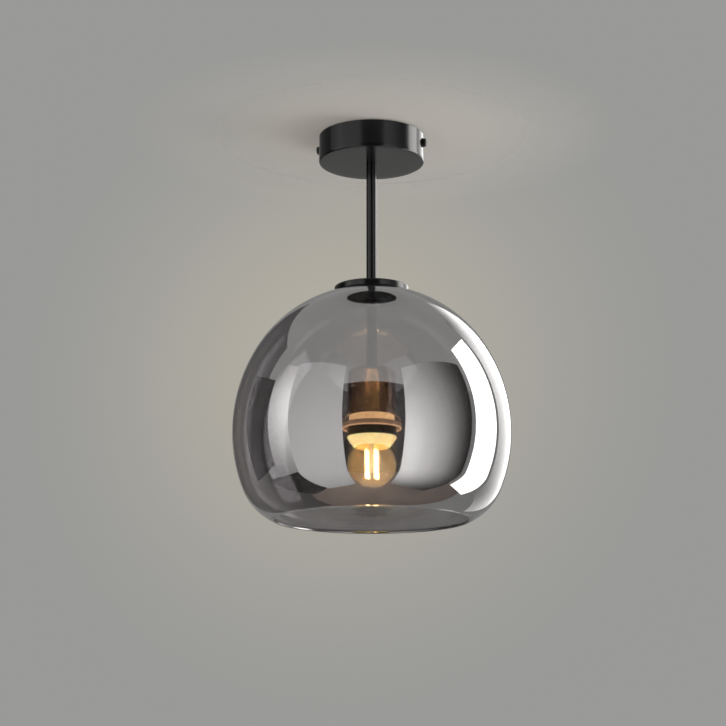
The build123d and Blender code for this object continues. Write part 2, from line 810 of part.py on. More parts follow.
def supply_wire(side, pole):
    """Live or neutral: terminal block, over the nipple, down the stem, to the holder terminal."""
    entry = block_entry_level
    hole_depth = holder_terminal_length / 2
    end_x = side * (holder_terminal_reach - holder_terminal_length + hole_depth - seat_gap)
    points = [
        (pole, block_start + wire_in_barrel, entry),
        (pole, block_start - wire_straight, entry),
        (side * wire_offset, 0, entry),
        (side * wire_offset, 0, terminal_entry_level),
        (end_x, 0, terminal_entry_level),
    ]
    return wire(points, [wire_wide_bend, wire_bend, wire_bend])


def wire_live():
    return supply_wire(1, pole_spacing)


def wire_neutral():
    return supply_wire(-1, 0)


def wire_earth():
    entry = block_entry_level
    lug_level = -bracket_thickness - earth_lug_thickness - wire_diameter / 2 - thread_gap
    turn_in = block_start - wire_straight
    points = [
        (-pole_spacing, block_start + wire_in_barrel, entry),
        (-pole_spacing, turn_in, entry),
        (-earth_screw_place, turn_in - earth_wire_drop, lug_level),
        (-earth_screw_place, lug_wire_start, lug_level),
    ]
    return wire(points, [earth_wire_bend, earth_wire_bend])


def earth_lug():
    """Ring tag under the earth screw, with the tongue that the wire is crimped to."""
    top = -bracket_thickness
    tag = ring(earth_lug_radius, earth_screw_radius + running_gap, top, earth_lug_thickness)
    hole = rod(earth_screw_radius + running_gap, top, earth_lug_thickness)
    half = lug_tongue_width / 2
    tag += slab((-half, half), (0, lug_tongue_reach), (top - earth_lug_thickness, top)) - hole
    return Pos(-earth_screw_place, 0, 0) * tag


def earth_screw():
    length = bracket_thickness + earth_lug_thickness
    screw = pan_screw(2 * earth_screw_radius, length, earth_screw_head, earth_screw_head_height)
    place = Pos(-earth_screw_place, 0, -bracket_thickness - earth_lug_thickness)
    return place * Rot(180, 0, 0) * screw


def pole_places():
    return [pole_spacing * (step - (pole_count - 1) / 2) for step in range(pole_count)]


def terminal_block():
    half = (pole_count * pole_spacing) / 2
    y = (block_start, block_start + block_length)
    body = slab((-half, half), y, (-bracket_thickness - block_height, -bracket_thickness))
    body = chamfer(body.edges().filter_by(Axis.Y), block_bevel)
    along = Rot(90, 0, 0) * Cylinder(barrel_radius + running_gap, block_length)
    for pole in pole_places():
        body -= Pos(pole, block_middle, block_entry_level) * along
        for place in barrel_screw_places():
            shaft = rod(barrel_screw_radius + screw_shaft_gap, block_entry_level, block_height)
            body -= Pos(pole, place, 0) * shaft
    hole = rod(block_screw_radius + running_gap, -bracket_thickness, block_height)
    for side in (-1, 1):
        body -= Pos(side * block_screw_place, block_middle, 0) * hole
    return body


def barrel_screw_places():
    return (block_start + barrel_screw_inset, block_start + block_length - barrel_screw_inset)


def terminal_barrels():
    """Brass barrels, one for each pole, with two clamp screws each."""
    barrels = []
    length = block_length - 2 * barrel_inset
    for pole in pole_places():
        middle = Pos(pole, block_middle, block_entry_level) * Rot(90, 0, 0)
        barrel = middle * Cylinder(barrel_radius, length)
        barrel -= middle * Cylinder(barrel_radius - barrel_wall, length)
        for place in barrel_screw_places():
            barrel -= Pos(pole, place, 0) * rod(
                barrel_screw_radius + thread_gap, block_entry_level, block_height
            )
        barrels.append(barrel)
    return barrels


def terminal_screws():
    screws = []
    start = block_entry_level - wire_diameter / 2 - running_gap
    end = block_entry_level - block_height / 2 + block_bevel
    slot = Box(3 * barrel_screw_radius, screw_slot_width, 2 * screw_slot_depth)
    for pole in pole_places():
        for place in barrel_screw_places():
            screw = rod(barrel_screw_radius, start, start - end) - Pos(0, 0, end) * slot
            screws.append(Pos(pole, place, 0) * screw)
    return screws


def block_screw():
    """Screw that holds the terminal block under the bracket's tongue."""
    length = block_height + bracket_thickness
    screw = pan_screw(
        2 * block_screw_radius, length, 4 * block_screw_radius, block_screw_head_height
    )
    place = Pos(block_screw_place, block_middle, -length)
    return place * Rot(180, 0, 0) * screw


# ---- Writing the parts ----
PARTS = {
    "ceiling_bracket": ceiling_bracket,
    "canopy": canopy,
    "canopy_screw_right": lambda: canopy_screw(1),
    "canopy_screw_left": lambda: canopy_screw(-1),
    "canopy_washer_right": lambda: canopy_screw_washer(1),
    "canopy_washer_left": lambda: canopy_screw_washer(-1),
    "terminal_block": terminal_block,
    "terminal_barrels": terminal_barrels,
    "terminal_screws": terminal_screws,
    "terminal_block_screw": block_screw,
    "earth_lug": earth_lug,
    "earth_screw": earth_screw,
    "wire_live": wire_live,
    "wire_neutral": wire_neutral,
    "wire_earth": wire_earth,
    "canopy_nipple": canopy_nipple,
    "canopy_lock_washer": canopy_lock_washer,
    "canopy_nut": canopy_nut,
    "stem": stem,
    "shade_cap": shade_cap,
    "upper_gasket": upper_gasket,
    "glass_shade": glass_shade,
    "lower_gasket": lower_gasket,
    "retaining_washer": retaining_washer,
    "spring_washer": spring_washer,
    "clamp_nut": clamp_nut,
    "shade_nipple": shade_nipple,
    "lower_stem": lower_stem,
    "holder_cup": holder_cup,
    "holder_nipple": holder_nipple,
    "holder_nut": holder_nut,
    "holder_bridge": holder_bridge,
    "bridge_screws": bridge_screws,
    "holder_collar": holder_collar,
    "brass_ring": brass_ring,
    "spacer_ring": spacer_ring,
    "socket_core": socket_core,
    "screw_shell": screw_shell,
    "contact_spring": contact_spring,
    "holder_terminals": holder_terminals,
    "holder_terminal_screws": holder_terminal_screws,
    "lamp_foot": lamp_foot,
    "lamp_insulator": lamp_insulator,
    "lamp_base": lamp_base,
    "lamp_globe": lamp_globe,
    "lamp_mount": lamp_mount,
    "lamp_leads": lamp_leads,
    "lamp_filaments": lamp_filaments,
}

os.makedirs("parts", exist_ok=True)
for name, make in PARTS.items():
    made = make()
    shape = Compound(made) if isinstance(made, list) else made
    shape.label = name
    export_step(shape, f"parts/{name}.step")
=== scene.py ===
import bpy
from math import atan2, cos, degrees, pi, radians, sin, sqrt
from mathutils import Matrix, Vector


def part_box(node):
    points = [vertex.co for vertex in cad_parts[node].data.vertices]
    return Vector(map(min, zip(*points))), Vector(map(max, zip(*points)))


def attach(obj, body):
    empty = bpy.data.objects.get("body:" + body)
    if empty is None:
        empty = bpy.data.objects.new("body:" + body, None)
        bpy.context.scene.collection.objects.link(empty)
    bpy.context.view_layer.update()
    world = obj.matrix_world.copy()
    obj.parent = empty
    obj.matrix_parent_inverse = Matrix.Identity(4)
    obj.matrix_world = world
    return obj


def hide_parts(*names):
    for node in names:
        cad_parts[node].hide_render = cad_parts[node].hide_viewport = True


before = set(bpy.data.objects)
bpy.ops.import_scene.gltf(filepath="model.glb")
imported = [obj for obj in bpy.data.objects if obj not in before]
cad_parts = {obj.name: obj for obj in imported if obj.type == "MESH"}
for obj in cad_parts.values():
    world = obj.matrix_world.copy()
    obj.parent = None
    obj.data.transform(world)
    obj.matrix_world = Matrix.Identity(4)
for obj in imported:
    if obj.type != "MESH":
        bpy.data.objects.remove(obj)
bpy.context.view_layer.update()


# ---- Camera ----
# Stands well below the canopy and looks up at the shade, a little round to the right,
# so that the right canopy screw is nearer than the left one.
camera_distance = 1.6954
camera_level = -0.6062
camera_azimuth = radians(12.7)
camera_pitch = radians(12.8)
camera_turn = radians(0.2755)       # the stem stands right of the picture's middle
focal_pixels, picture_pixels = 1872, 726

camera_data = bpy.data.cameras.new("camera")
camera_data.sensor_width = 36
camera_data.lens = camera_data.sensor_width * focal_pixels / picture_pixels
camera = bpy.data.objects.new("camera", camera_data)
bpy.context.scene.collection.objects.link(camera)
camera.location = (
    camera_distance * sin(camera_azimuth), -camera_distance * cos(camera_azimuth), camera_level
)
camera.rotation_euler = (pi / 2 + camera_pitch, 0, camera_azimuth + camera_turn)
bpy.context.scene.camera = camera
bpy.context.scene.view_settings.view_transform = "Standard"


# ---- Room ----
# A pale grey ceiling board, the wall behind it and a plain floor, matt paint all over.
# The wall and the world show the same grey to the camera, to gloss and through glass.
room_grey = (0.323, 0.323, 0.314)
# painted light: the warm grey of the glow painted on the board and wall round the lamp
glow_grey = (0.440, 0.416, 0.358)
board_radius, board_level = 0.28, 0.0012
board_glow, board_reach = (0.05, 0.05, 0), 0.45
board_shaded = 0.6                  # share of the real shadows that the board keeps
board_fade = (0.05, 0.24)
wall_size, wall_place = (4.4, 3.6), (0, 1.35, -0.75)
wall_glow, wall_reach = (-0.36, 0.832, 0), 0.65
floor_size, floor_level = (5.0, 5.0), -2.4


def card(name, size, place, turn):
    """A flat sheet of that size in metres, its face towards its own +Z."""
    bpy.ops.object.select_all(action="DESELECT")
    bpy.ops.mesh.primitive_plane_add(size=1, location=place, rotation=turn)
    sheet = bpy.context.object
    sheet.name = sheet.data.name = name
    sheet.scale = (size[0], size[1], 1)
    bpy.ops.object.transform_apply(location=False, rotation=False, scale=True)
    return sheet


def node(tree, kind, inputs=(), **settings):
    """A shader node with its settings, and its inputs by name or number, each a value or a socket."""
    made = tree.nodes.new(kind)
    for key, value in settings.items():
        setattr(made, key, value)
    for key, value in dict(inputs).items():
        if isinstance(value, bpy.types.NodeSocket):
            tree.links.new(value, made.inputs[key])
        else:
            made.inputs[key].default_value = value
    return made


def seen_as_background(tree):
    """1 for rays of the camera, of gloss and through glass, else 0."""
    path = node(tree, "ShaderNodeLightPath")
    both = node(tree, "ShaderNodeMath", {0: path.outputs["Is Camera Ray"], 1: path.outputs["Is Glossy Ray"]},
                operation="MAXIMUM")
    return node(tree, "ShaderNodeMath", {0: both.outputs[0], 1: path.outputs["Is Transmission Ray"]},
                operation="MAXIMUM").outputs[0]


def room_paint(name, middle, reach, shaded=0.0, fade=None):
    """Matt paint with a painted glow of light round a place, that keeps a share of the real shadows.

    With a fade, the paint thins out between those two distances from the stem.
    """
    made = bpy.data.materials.new(name)
    made.use_nodes = True
    tree = made.node_tree
    tree.nodes.clear()
    place = node(tree, "ShaderNodeTexCoord").outputs["Object"]
    away = node(tree, "ShaderNodeVectorMath", {0: place, 1: middle}, operation="DISTANCE").outputs["Value"]
    # painted pool of light: glow grey at the middle, fading to the plain grey at the reach
    glow = node(tree, "ShaderNodeMapRange", {"Value": away, "From Min": 0.0, "From Max": reach, "To Min": 1.0,
                                             "To Max": 0.0}, interpolation_type="SMOOTHERSTEP").outputs[0]
    mottle = node(tree, "ShaderNodeTexNoise", {"Vector": place, "Scale": 60.0, "Detail": 6.0}).outputs["Fac"]
    tone = node(tree, "ShaderNodeMix", {0: glow, 6: (*room_grey, 1), 7: (*glow_grey, 1)}, data_type="RGBA")
    bump = node(tree, "ShaderNodeBump", {"Height": mottle, "Strength": 0.05, "Distance": 0.001})
    plain = node(tree, "ShaderNodeEmission", {"Color": tone.outputs[2], "Strength": 1.0})
    paint = node(tree, "ShaderNodeBsdfDiffuse", {"Color": (0.62, 0.61, 0.60, 1), "Normal": bump.outputs[0]})
    mixed = node(tree, "ShaderNodeMixShader", {0: shaded, 1: plain.outputs[0], 2: paint.outputs[0]})
    seen = node(tree, "ShaderNodeMixShader", {0: seen_as_background(tree), 1: paint.outputs[0], 2: mixed.outputs[0]})
    hidden = node(tree, "ShaderNodeNewGeometry").outputs["Backfacing"]
    if fade:
        near = node(tree, "ShaderNodeVectorMath", {0: place}, operation="LENGTH").outputs["Value"]
        thin = node(tree, "ShaderNodeMapRange", {"Value": near, "From Min": fade[0], "From Max": fade[1]},
                    interpolation_type="SMOOTHSTEP").outputs[0]
        hidden = node(tree, "ShaderNodeMath", {0: hidden, 1: thin}, operation="MAXIMUM").outputs[0]
    clear = node(tree, "ShaderNodeBsdfTransparent")
    sided = node(tree, "ShaderNodeMixShader", {0: hidden, 1: seen.outputs[0], 2: clear.outputs[0]})
    node(tree, "ShaderNodeOutputMaterial", {"Surface": sided.outputs[0]})
    return made


bpy.ops.object.select_all(action="DESELECT")
bpy.ops.mesh.primitive_circle_add(
    vertices=96, radius=board_radius, fill_type="NGON", location=(0, 0, board_level), rotation=(pi, 0, 0)
)
board = bpy.context.object
board.name = board.data.name = "ceiling_board"
board.data.materials.append(room_paint("ceiling_paint", board_glow, board_reach, board_shaded, board_fade))
board.visible_glossy = False        # the canopy shows the light boxes beyond it

wall = card("room_wall", wall_size, wall_place, (pi / 2, 0, 0))
wall.data.materials.append(room_paint("wall_paint", wall_glow, wall_reach))

ground = card("room_floor", floor_size, (0, 0, floor_level), (0, 0, 0))
ground_paint = bpy.data.materials.new("floor_paint")
ground_paint.use_nodes = True
tree = ground_paint.node_tree
place = node(tree, "ShaderNodeTexCoord").outputs["Object"]
mottle = node(tree, "ShaderNodeTexNoise", {"Vector": place, "Scale": 9.0, "Detail": 8.0}).outputs["Fac"]
tone = node(tree, "ShaderNodeMix", {0: mottle, 6: (0.50, 0.39, 0.32, 1), 7: (0.57, 0.45, 0.38, 1)},
            data_type="RGBA")
skin = tree.nodes["Principled BSDF"]
tree.links.new(tone.outputs[2], skin.inputs["Base Color"])
skin.inputs["Roughness"].default_value = 0.7
ground.data.materials.append(ground_paint)

world = bpy.data.worlds.new("room")
world.use_nodes = True
bpy.context.scene.world = world
tree = world.node_tree
tree.nodes.clear()
around = node(tree, "ShaderNodeBackground", {"Color": (0.9, 0.95, 1.0, 1), "Strength": 0.22})
plain = node(tree, "ShaderNodeBackground", {"Color": (*room_grey, 1), "Strength": 1.0})
both = node(tree, "ShaderNodeMixShader", {0: seen_as_background(tree), 1: around.outputs[0], 2: plain.outputs[0]})
node(tree, "ShaderNodeOutputWorld", {"Surface": both.outputs[0]})


# ---- Studio light ----
# Tall soft boxes at both sides, a bright strip and a box behind the right one, a wide one
# overhead, and dark cloth between them. They light the part and show in its glass and its
# black coat, but not in the picture.
def facing(bearing):
    """The direction of a bearing from the camera, in degrees to its right, seen from the lamp."""
    angle = camera_azimuth + radians(bearing)
    return sin(angle), -cos(angle)


def upright_card(name, bearing, distance, width, low, high):
    """A tall sheet at a bearing and distance from the stem that faces the stem."""
    out_x, out_y = facing(bearing)
    place = (out_x * distance, out_y * distance, (low + high) / 2)
    sheet = card(name, (width, high - low), place, (pi / 2, 0, camera_azimuth + radians(bearing) + pi))
    sheet.visible_camera = sheet.visible_shadow = False
    return sheet


def light_cloth(name, left, right, foot, head):
    """Glowing cloth: its brightness at each side, and the share that is left at its foot and head."""
    made = bpy.data.materials.new(name)
    made.use_nodes = True
    tree = made.node_tree
    tree.nodes.clear()
    across = node(tree, "ShaderNodeSeparateXYZ", {0: node(tree, "ShaderNodeTexCoord").outputs["UV"]})
    side = node(tree, "ShaderNodeMapRange", {"Value": across.outputs[0], "To Min": left, "To Max": right},
                interpolation_type="SMOOTHSTEP").outputs[0]
    rising = node(tree, "ShaderNodeMapRange", {"Value": across.outputs[1], "From Max": 0.6, "To Min": foot,
                                               "To Max": 1.0}, interpolation_type="SMOOTHSTEP").outputs[0]
    ending = node(tree, "ShaderNodeMapRange", {"Value": across.outputs[1], "From Min": 0.6, "To Min": 1.0,
                                               "To Max": head}, interpolation_type="SMOOTHSTEP").outputs[0]
    glow = node(tree, "ShaderNodeMath", {0: side, 1: rising}, operation="MULTIPLY").outputs[0]
    glow = node(tree, "ShaderNodeMath", {0: glow, 1: ending}, operation="MULTIPLY").outputs[0]
    lit = node(tree, "ShaderNodeEmission", {"Color": (1.0, 0.985, 0.965, 1), "Strength": glow})
    back = node(tree, "ShaderNodeNewGeometry").outputs["Backfacing"]
    clear = node(tree, "ShaderNodeBsdfTransparent")
    sided = node(tree, "ShaderNodeMixShader", {0: back, 1: lit.outputs[0], 2: clear.outputs[0]})
    node(tree, "ShaderNodeOutputMaterial", {"Surface": sided.outputs[0]})
    return made


for name, bearing, distance, width, low, high, left, right, foot, head in (
    ("left_soft_box", -45, 1.0, 0.84, floor_level + 0.02, 0.52, 0.95, 0.95, 0.7, 0.75),
    ("left_strip", -77, 1.0, 0.36, -0.80, 0.42, 1.7, 0.9, 0.3, 0.5),
    ("right_soft_box", 54.5, 1.0, 1.12, floor_level + 0.02, 0.52, 0.01, 1.72, 0.22, 0.42),
    ("right_strip", 101, 0.9, 0.44, -1.10, 0.58, 5.5, 5.5, 1.0, 1.0),
    ("right_back_box", 137, 1.0, 0.62, -0.9, 1.0, 4.5, 1.8, 0.2, 0.15),
):
    box = upright_card(name, bearing, distance, width, low, high)
    box.data.materials.append(light_cloth(name + "_cloth", left, right, foot, head))

overhead_size, overhead_level, overhead_glow = (6.4, 6.4), 0.95, 0.46
overhead = card("overhead_box", overhead_size, (0, 0, overhead_level), (pi, 0, 0))
overhead.visible_camera = overhead.visible_shadow = False
overhead.data.materials.append(light_cloth("overhead_cloth", overhead_glow, overhead_glow, 1.0, 1.0))



def drape(name, colour):
    """Matt cloth that gives back only that share of the light."""
    made = bpy.data.materials.new(name)
    made.use_nodes = True
    skin = made.node_tree.nodes["Principled BSDF"]
    skin.inputs["Base Color"].default_value = (*colour, 1)
    skin.inputs["Roughness"].default_value = 0.9
    skin.inputs["Specular IOR Level"].default_value = 0.0
    return made


drape_cloth = drape("drape_cloth", (0.004, 0.004, 0.004))
grey_cloth = drape("grey_cloth", (0.16, 0.16, 0.165))
for name, bearing, distance, width, low, high, cloth in (
    ("camera_drape", 0, 2.3, 2.6, floor_level + 0.02, 0.88, drape_cloth),
    ("left_flag", -101, 0.9, 0.46, -0.56, 0.17, drape_cloth),
    ("left_low_drape", -82, 1.1, 0.80, floor_level + 0.02, -0.80, drape_cloth),
    ("left_back_drape", -128, 1.15, 1.30, floor_level + 0.02, 0.94, grey_cloth),
):
    upright_card(name, bearing, distance, width, low, high).data.materials.append(cloth)


# ---- Ceiling bracket ----
# Folded steel bar, bright zinc plated, that two screws hold to the ceiling. Its ears take
# the canopy's side screws and its tongue carries the terminals.
def surface_group(name, build):
    """A shader group with Scale and Amount inputs and Tone, Roughness and Height outputs."""
    group = bpy.data.node_groups.new(name, "ShaderNodeTree")
    for socket, start in (("Scale", 1.0), ("Amount", 1.0)):
        group.interface.new_socket(socket, in_out="INPUT", socket_type="NodeSocketFloat").default_value = start
    for socket in ("Tone", "Roughness", "Height"):
        group.interface.new_socket(socket, in_out="OUTPUT", socket_type="NodeSocketFloat")
    given = group.nodes.new("NodeGroupInput")
    result = group.nodes.new("NodeGroupOutput")
    for socket, value in zip(("Tone", "Roughness", "Height"), build(group, given)):
        group.links.new(value, result.inputs[socket])
    return group


def scaled_place(group, given, stretch=(1, 1, 1)):
    """Object coordinates times the group's Scale, stretched along each axis."""
    place = node(group, "ShaderNodeTexCoord").outputs["Object"]
    pulled = node(group, "ShaderNodeMapping", {"Vector": place, "Scale": stretch}).outputs[0]
    return node(group, "ShaderNodeVectorMath", {0: pulled, 3: given.outputs["Scale"]}, operation="SCALE").outputs[0]


def spread(group, value, low, high, amount=None):
    """Maps a mask to low..high, and pulls it towards the middle where the amount is under 1."""
    ranged = node(group, "ShaderNodeMapRange", {"Value": value, "From Min": 0.25, "From Max": 0.75,
                                                "To Min": low, "To Max": high}).outputs[0]
    if amount is None:
        return ranged
    middle = (low + high) / 2
    return node(group, "ShaderNodeMix", {0: amount, 2: middle, 3: ranged}, data_type="FLOAT").outputs[0]


def plated_surface(group, given):
    """Plated sheet: cloudy spangle, fine drawn scratches and a few finger marks."""
    place = scaled_place(group, given)
    drawn = scaled_place(group, given, (1, 14, 14))
    cloud = node(group, "ShaderNodeTexNoise", {"Vector": place, "Scale": 160.0, "Detail": 4.0}).outputs["Fac"]
    scratch = node(group, "ShaderNodeTexNoise", {"Vector": drawn, "Scale": 420.0, "Detail": 3.0}).outputs["Fac"]
    mark = node(group, "ShaderNodeTexNoise", {"Vector": place, "Scale": 55.0, "Distortion": 1.5}).outputs["Fac"]
    tone = node(group, "ShaderNodeMath", {0: cloud, 1: scratch}, operation="MULTIPLY").outputs[0]
    tone = spread(group, node(group, "ShaderNodeMath", {0: tone, 1: 2.0}, operation="MULTIPLY").outputs[0],
                  0.0, 1.0, given.outputs["Amount"])
    return tone, spread(group, mark, 0.24, 0.46, given.outputs["Amount"]), scratch


plated = surface_group("plated_surface", plated_surface)


def finish(name, dark, light, group, scale=1.0, amount=1.0, metallic=0.0, rough=0.0, bump=0.1, depth=0.0001,
           **sockets):
    """A finish whose colour, roughness and relief come from a surface group; rough is added to its roughness."""
    made = bpy.data.materials.new(name)
    made.use_nodes = True
    tree = made.node_tree
    skin = tree.nodes["Principled BSDF"]
    look = node(tree, "ShaderNodeGroup", node_tree=group)
    look.inputs["Scale"].default_value = scale
    look.inputs["Amount"].default_value = amount
    tone = node(tree, "ShaderNodeMix", {0: look.outputs["Tone"], 6: (*dark, 1), 7: (*light, 1)}, data_type="RGBA")
    tree.links.new(tone.outputs[2], skin.inputs["Base Color"])
    gloss = node(tree, "ShaderNodeMath", {0: look.outputs["Roughness"], 1: rough}, operation="ADD", use_clamp=True)
    tree.links.new(gloss.outputs[0], skin.inputs["Roughness"])
    relief = node(tree, "ShaderNodeBump", {"Height": look.outputs["Height"], "Strength": bump, "Distance": depth})
    tree.links.new(relief.outputs[0], skin.inputs["Normal"])
    skin.inputs["Metallic"].default_value = metallic
    for key, value in sockets.items():
        skin.inputs[key.replace("_", " ")].default_value = value
    return made


def toned(material, dark, light):
    """A second colour for a finish, from dark to light with the tone of its surface group."""
    tree = material.node_tree
    tone = next(item for item in tree.nodes if item.type == "GROUP").outputs["Tone"]
    return node(tree, "ShaderNodeMix", {0: tone, 6: (*dark, 1), 7: (*light, 1)}, data_type="RGBA").outputs[2]


def level_mask(tree, low, high, below, above):
    """Goes from the value below a level to the value above a higher one."""
    place = node(tree, "ShaderNodeTexCoord").outputs["Object"]
    level = node(tree, "ShaderNodeSeparateXYZ", {0: place}).outputs["Z"]
    return node(tree, "ShaderNodeMapRange", {"Value": level, "From Min": low, "From Max": high, "To Min": below,
                                             "To Max": above}).outputs[0]


def settle(piece, nodes, body, material):
    """Gives a piece its finish, lets it stand for its CAD nodes and ride on their body."""
    piece.data.materials.clear()
    piece.data.materials.append(material)
    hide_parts(*nodes)
    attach(piece, body)
    return piece


def smoothed(name, source, body, material, angle=32):
    """A copy of a CAD node's mesh with its loose corners merged and its round faces smooth."""
    bpy.ops.object.select_all(action="DESELECT")
    piece = bpy.data.objects.new(name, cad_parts[source].data.copy())
    piece.data.name = name
    bpy.context.scene.collection.objects.link(piece)
    bpy.context.view_layer.objects.active = piece
    piece.select_set(True)
    bpy.ops.object.mode_set(mode="EDIT")
    bpy.ops.mesh.select_all(action="SELECT")
    bpy.ops.mesh.remove_doubles(threshold=2e-6)
    bpy.ops.object.mode_set(mode="OBJECT")
    bpy.ops.object.shade_smooth_by_angle(angle=radians(angle))
    return settle(piece, (source,), body, material)


zinc = finish("zinc_plate", (0.42, 0.43, 0.44), (0.60, 0.61, 0.62), plated, metallic=1.0, bump=0.25, depth=0.00004)
smoothed("bracket_bar", "ceiling_bracket", "fixture", zinc)


# ---- Canopy ----
# Spun steel cup, open at the top, that covers the bracket. Black powder coat with a fine
# orange peel, a soft rolled lower edge, and a hole for each side screw.
canopy_radius, canopy_depth, canopy_wall = 0.050, 0.026, 0.0012
canopy_edge = 0.0015
nipple_hole = 0.0041
side_hole = 0.0023
side_hole_depth = 0.0095


def arc(middle, radius, start, end, steps):
    """Ring sizes along an arc about middle; angles in degrees from straight up, outwards."""
    turns = [radians(start + (end - start) * step / steps) for step in range(steps + 1)]
    return [(middle[0] + radius * sin(turn), middle[1] + radius * cos(turn)) for turn in turns]


def turned(name, rings, segments=128, closed=True, angle=32):
    """A turned piece: a circle extruded and resized from ring to ring, as (radius, level)."""
    bpy.ops.object.select_all(action="DESELECT")
    radius, level = rings[0]
    bpy.ops.mesh.primitive_circle_add(vertices=segments, radius=radius, location=(0, 0, level))
    piece = bpy.context.object
    piece.name = piece.data.name = name
    bpy.ops.object.transform_apply(location=True, rotation=False, scale=False)
    bpy.ops.object.mode_set(mode="EDIT")
    bpy.ops.mesh.select_all(action="SELECT")
    for next_radius, next_level in rings[1:] + rings[:1] * closed:
        bpy.ops.mesh.extrude_region_move(TRANSFORM_OT_translate={"value": (0, 0, next_level - level)})
        share = next_radius / radius
        bpy.ops.transform.resize(value=(share, share, 1), center_override=(0, 0, next_level))
        radius, level = next_radius, next_level
    bpy.ops.mesh.select_all(action="SELECT")
    bpy.ops.mesh.remove_doubles(threshold=5e-6)
    bpy.ops.mesh.delete_loose()
    bpy.ops.mesh.select_all(action="SELECT")
    bpy.ops.mesh.normals_make_consistent(inside=False)
    bpy.ops.object.mode_set(mode="OBJECT")
    bpy.ops.object.shade_smooth_by_angle(angle=radians(angle))
    return piece


def coated_surface(group, given):
    """Powder coat: fine peel, a slow drift of tone, and specks of dust."""
    place = scaled_place(group, given)
    peel = node(group, "ShaderNodeTexNoise", {"Vector": place, "Scale": 900.0, "Detail": 2.0}).outputs["Fac"]
    drift = node(group, "ShaderNodeTexNoise", {"Vector": place, "Scale": 45.0, "Detail": 5.0}).outputs["Fac"]
    speck = node(group, "ShaderNodeTexVoronoi", {"Vector": place, "Scale": 520.0}).outputs["Distance"]
    dust = node(group, "ShaderNodeMapRange", {"Value": speck, "From Min": 0.0, "From Max": 0.10, "To Min": 1.0,
                                              "To Max": 0.0}).outputs[0]
    spots = node(group, "ShaderNodeMapRange", {"Value": drift, "From Min": 0.55, "From Max": 0.75}).outputs[0]
    dust = node(group, "ShaderNodeMath", {0: dust, 1: spots}, operation="MULTIPLY").outputs[0]
    tone = node(group, "ShaderNodeMath", {0: spread(group, drift, 0.0, 0.6, given.outputs["Amount"]), 1: dust},
                operation="MAXIMUM").outputs[0]
    gloss = node(group, "ShaderNodeMath", {0: spread(group, drift, 0.15, 0.24, given.outputs["Amount"]),
                                           1: node(group, "ShaderNodeMath", {0: dust, 1: 0.3},
                                                   operation="MULTIPLY").outputs[0]}, operation="ADD").outputs[0]
    return tone, gloss, peel


coated = surface_group("coated_surface", coated_surface)
black_coat = finish("black_powder_coat", (0.0045, 0.0045, 0.0060), (0.012, 0.012, 0.014), coated, bump=0.10,
                    depth=0.00006)
low = -canopy_depth
canopy_cup = turned("canopy_cup", [
    (canopy_radius - canopy_wall, 0), (canopy_radius - 0.0003, 0), (canopy_radius, -0.0003),
    (canopy_radius, -0.003), (canopy_radius, low + 0.004),
    *arc((canopy_radius - canopy_edge, low + canopy_edge), canopy_edge, 90, 180, 8),
    (canopy_radius * 0.8, low), (canopy_radius * 0.5, low), (nipple_hole, low),
    (nipple_hole, low + canopy_wall), (canopy_radius * 0.8, low + canopy_wall),
    *arc((canopy_radius - canopy_edge - 0.0006, low + canopy_edge + 0.0006), canopy_edge - 0.0006, 180, 90, 5),
    (canopy_radius - canopy_wall, -0.004),
], 160)
bpy.ops.object.select_all(action="DESELECT")
bpy.ops.mesh.primitive_cylinder_add(
    vertices=48, radius=side_hole, depth=0.12, location=(0, 0, -side_hole_depth), rotation=(0, pi / 2, 0)
)
punch = bpy.context.object
cut = canopy_cup.modifiers.new("side_holes", "BOOLEAN")
cut.object, cut.operation, cut.solver = punch, "DIFFERENCE", "EXACT"
bpy.context.view_layer.objects.active = canopy_cup
bpy.ops.object.modifier_apply(modifier=cut.name)
bpy.data.objects.remove(punch)
settle(canopy_cup, ("canopy",), "fixture", black_coat)


# ---- Canopy side screws ----
# M4 pan head screws with cross recesses and their washers, blackened steel with bare metal
# showing at the recess and the edges.
blackened = finish("blackened_steel", (0.018, 0.018, 0.020), (0.075, 0.073, 0.072), plated, metallic=0.85,
                   rough=0.02, bump=0.2, depth=0.00004)
for side in ("right", "left"):
    smoothed("side_screw_" + side, "canopy_screw_" + side, "screw_" + side, blackened)
    smoothed("side_washer_" + side, "canopy_washer_" + side, f"screw_{side}_travel", blackened)


# ---- Supply terminals ----
# White nylon block with three brass barrels and their slotted clamp screws, and one steel
# screw that holds it under the bracket's tongue.
def moulded_surface(group, given):
    """Moulded plastic or rubber: spark-eroded grain and a faint flow of tone."""
    place = scaled_place(group, given)
    grain = node(group, "ShaderNodeTexNoise", {"Vector": place, "Scale": 1400.0, "Detail": 3.0}).outputs["Fac"]
    flow = node(group, "ShaderNodeTexNoise", {"Vector": place, "Scale": 70.0, "Distortion": 2.0}).outputs["Fac"]
    return (spread(group, flow, 0.0, 1.0, given.outputs["Amount"]),
            spread(group, flow, 0.38, 0.52, given.outputs["Amount"]), grain)


moulded = surface_group("moulded_surface", moulded_surface)
nylon = finish("white_nylon", (0.66, 0.65, 0.61), (0.76, 0.75, 0.72), moulded, bump=0.15, depth=0.00006,
               Subsurface_Weight=0.1, Subsurface_Scale=0.002)
brass = finish("brass", (0.62, 0.43, 0.17), (0.78, 0.58, 0.27), plated, metallic=1.0, rough=-0.04, bump=0.2,
               depth=0.00003)
nickel = finish("nickel_plate", (0.50, 0.48, 0.45), (0.66, 0.64, 0.60), plated, metallic=1.0, rough=-0.08,
                bump=0.15, depth=0.00003)
smoothed("terminal_housing", "terminal_block", "fixture", nylon)
smoothed("terminal_tubes", "terminal_barrels", "fixture", brass)
smoothed("terminal_clamp_screws", "terminal_screws", "fixture", zinc)
smoothed("terminal_fixing_screw", "terminal_block_screw", "fixture", zinc)


